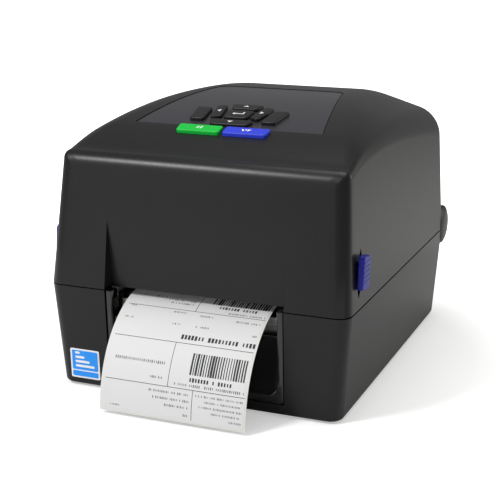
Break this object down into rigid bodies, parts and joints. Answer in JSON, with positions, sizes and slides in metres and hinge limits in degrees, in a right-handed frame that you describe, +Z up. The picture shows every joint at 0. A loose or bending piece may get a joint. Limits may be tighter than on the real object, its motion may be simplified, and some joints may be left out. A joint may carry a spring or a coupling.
{
  "type": "thermal label printer",
  "caption": "Desktop clamshell thermal transfer label printer with a keypad on its lid, loaded with a label roll and ribbon, a printed label leaving the front.",
  "frame": {"origin": "on the table under the middle of the bounding box, the hanging label included", "axes": "+Z up, the front with the label mouth faces -Y, +X is the printer's right-hand side"},
  "size_m": [0.2346, 0.3334, 0.2024],
  "materials": {
    "case_plastic": "fine spark-eroded texture, charcoal",
    "gloss_black": "polished black",
    "dark_plastic": "matt black",
    "panel_grey": "satin grey printed film",
    "blue_plastic": "moulded blue",
    "feed_blue": "moulded blue key",
    "pause_green": "moulded green key",
    "key_grey": "moulded dark grey key",
    "paper": "white thermal label stock",
    "card": "wound kraft board",
    "rubber": "black rubber",
    "steel": "bright steel",
    "head_alloy": "extruded",
    "nylon": "natural nylon",
    "board": "green circuit board",
    "ribbon": "black transfer film",
    "badge": "printed blue film"
  },
  "bodies": {
    "base": {"base_shell": "case_plastic", "chassis": "dark_plastic", "energy_badge": "badge", "ethernet_port": "steel", "foot_front_left": "rubber", "foot_front_right": "rubber", "foot_rear_left": "rubber", "foot_rear_right": "rubber", "front_insert": "gloss_black", "guide_bar": "steel", "hinge_cap_left": "case_plastic", "hinge_cap_right": "case_plastic", "hinge_pin_left": "steel", "hinge_pin_right": "steel", "label_web": "paper", "main_board": "board", "media_rail": "steel", "power_board": "board", "power_inlet": "dark_plastic", "serial_port": "steel", "stepper_motor": "steel", "switch_bezel": "dark_plastic", "tear_bar": "steel", "usb_port": "steel", "web_sensor": "dark_plastic"},
    "lid": {"lid_shell": "case_plastic", "control_panel": "panel_grey", "lid_frame": "dark_plastic", "head_bridge": "dark_plastic"},
    "print_head": {"print_head": "head_alloy"},
    "ribbon_supply": {"ribbon_supply_spindle": "blue_plastic", "ribbon_supply_roll": "ribbon"},
    "ribbon_takeup": {"ribbon_takeup_spindle": "blue_plastic", "ribbon_takeup_roll": "ribbon"},
    "latch": {"latch_shaft": "steel", "latch_hook_left": "dark_plastic", "latch_hook_right": "dark_plastic", "latch_tab_left": "blue_plastic", "latch_tab_right": "blue_plastic"},
    "platen": {"platen_shaft": "steel", "platen_roller": "rubber", "platen_gear": "nylon"},
    "idler_gear": {"idler_gear": "nylon"},
    "motor_pinion": {"motor_pinion": "steel"},
    "media_roll": {"label_roll": "paper", "roll_core": "card"},
    "media_holder_right": {"media_holder_right": "blue_plastic"},
    "media_holder_left": {"media_holder_left": "blue_plastic"},
    "edge_guide_right": {"edge_guide_right": "blue_plastic"},
    "edge_guide_left": {"edge_guide_left": "blue_plastic"},
    "power_rocker": {"power_rocker": "dark_plastic"},
    "key_down": {"key_down": "key_grey"},
    "key_enter": {"key_enter": "key_grey"},
    "key_feed": {"key_feed": "feed_blue"},
    "key_left": {"key_left": "key_grey"},
    "key_pause": {"key_pause": "pause_green"},
    "key_right": {"key_right": "key_grey"},
    "key_soft_left": {"key_soft_left": "key_grey"},
    "key_soft_right": {"key_soft_right": "key_grey"},
    "key_up": {"key_up": "key_grey"}
  },
  "joints": [
    {"name": "lid_hinge", "type": "hinge", "parent": "base", "child": "lid", "pos_m": [0, 0.1502, 0.079], "axis": [-1, 0, 0], "range_deg": [0, 80]},
    {"name": "print_head_tilt", "type": "hinge", "parent": "lid", "child": "print_head", "pos_m": [0, -0.0788, 0.0856], "axis": [-1, 0, 0], "range_deg": [0, 3], "stiffness_Nm_per_rad": 4},
    {"name": "ribbon_supply_spin", "type": "hinge", "parent": "lid", "child": "ribbon_supply", "pos_m": [0, -0.0338, 0.124], "axis": [1, 0, 0], "continuous": true},
    {"name": "ribbon_takeup_spin", "type": "hinge", "parent": "lid", "child": "ribbon_takeup", "pos_m": [0, -0.0758, 0.116], "axis": [1, 0, 0], "continuous": true},
    {"name": "latch_pull", "type": "hinge", "parent": "lid", "child": "latch", "pos_m": [0, -0.0998, 0.137], "axis": [-1, 0, 0], "range_deg": [0, 6], "stiffness_Nm_per_rad": 3},
    {"name": "platen_spin", "type": "hinge", "parent": "base", "child": "platen", "pos_m": [0, -0.1018, 0.0671], "axis": [1, 0, 0], "continuous": true},
    {"name": "idler_spin", "type": "hinge", "parent": "base", "child": "idler_gear", "pos_m": [0, -0.08387, 0.05309], "axis": [1, 0, 0], "continuous": true},
    {"name": "pinion_spin", "type": "hinge", "parent": "base", "child": "motor_pinion", "pos_m": [0, -0.06764, 0.04372], "axis": [1, 0, 0], "continuous": true},
    {"name": "media_roll_spin", "type": "hinge", "parent": "base", "child": "media_roll", "pos_m": [0, 0.0532, 0.062], "axis": [1, 0, 0], "continuous": true},
    {"name": "holder_right_slide", "type": "slide", "parent": "base", "child": "media_holder_right", "axis": [1, 0, 0], "range_m": [0, 0.02], "stiffness_N_per_m": 60},
    {"name": "holder_left_slide", "type": "slide", "parent": "base", "child": "media_holder_left", "axis": [-1, 0, 0], "range_m": [0, 0.02], "stiffness_N_per_m": 60},
    {"name": "edge_guide_right_slide", "type": "slide", "parent": "base", "child": "edge_guide_right", "axis": [1, 0, 0], "range_m": [0, 0.003]},
    {"name": "edge_guide_left_slide", "type": "slide", "parent": "base", "child": "edge_guide_left", "axis": [-1, 0, 0], "range_m": [0, 0.003]},
    {"name": "power_rocker_tip", "type": "hinge", "parent": "base", "child": "power_rocker", "pos_m": [-0.038, 0.1452, 0.026], "axis": [0, 0, 1], "range_deg": [0, 14]},
    {"name": "key_down_press", "type": "slide", "parent": "lid", "child": "key_down", "axis": [0, 0.2266, -0.974], "range_m": [0, 0.001], "stiffness_N_per_m": 500},
    {"name": "key_enter_press", "type": "slide", "parent": "lid", "child": "key_enter", "axis": [0, 0.1931, -0.9812], "range_m": [0, 0.001], "stiffness_N_per_m": 500},
    {"name": "key_feed_press", "type": "slide", "parent": "lid", "child": "key_feed", "axis": [0, 0.2539, -0.9672], "range_m": [0, 0.001], "stiffness_N_per_m": 500},
    {"name": "key_left_press", "type": "slide", "parent": "lid", "child": "key_left", "axis": [0, 0.1847, -0.9828], "range_m": [0, 0.001], "stiffness_N_per_m": 500},
    {"name": "key_pause_press", "type": "slide", "parent": "lid", "child": "key_pause", "axis": [0, 0.2539, -0.9672], "range_m": [0, 0.001], "stiffness_N_per_m": 500},
    {"name": "key_right_press", "type": "slide", "parent": "lid", "child": "key_right", "axis": [0, 0.1847, -0.9828], "range_m": [0, 0.001], "stiffness_N_per_m": 500},
    {"name": "key_soft_left_press", "type": "slide", "parent": "lid", "child": "key_soft_left", "axis": [0, 0.1967, -0.9805], "range_m": [0, 0.001], "stiffness_N_per_m": 500},
    {"name": "key_soft_right_press", "type": "slide", "parent": "lid", "child": "key_soft_right", "axis": [0, 0.1967, -0.9805], "range_m": [0, 0.001], "stiffness_N_per_m": 500},
    {"name": "key_up_press", "type": "slide", "parent": "lid", "child": "key_up", "axis": [0, 0.1588, -0.9873], "range_m": [0, 0.001], "stiffness_N_per_m": 500}
  ],
  "couplings": [
    {"joint": "platen_spin", "follows": "media_roll_spin", "ratio": 7.1429},
    {"joint": "idler_spin", "follows": "media_roll_spin", "ratio": -5.7143},
    {"joint": "pinion_spin", "follows": "media_roll_spin", "ratio": 11.905},
    {"joint": "ribbon_supply_spin", "follows": "media_roll_spin", "ratio": -2.2727},
    {"joint": "ribbon_takeup_spin", "follows": "media_roll_spin", "ratio": -3.3333},
    {"joint": "holder_left_slide", "follows": "holder_right_slide", "ratio": 1},
    {"joint": "edge_guide_left_slide", "follows": "edge_guide_right_slide", "ratio": 1}
  ]
}
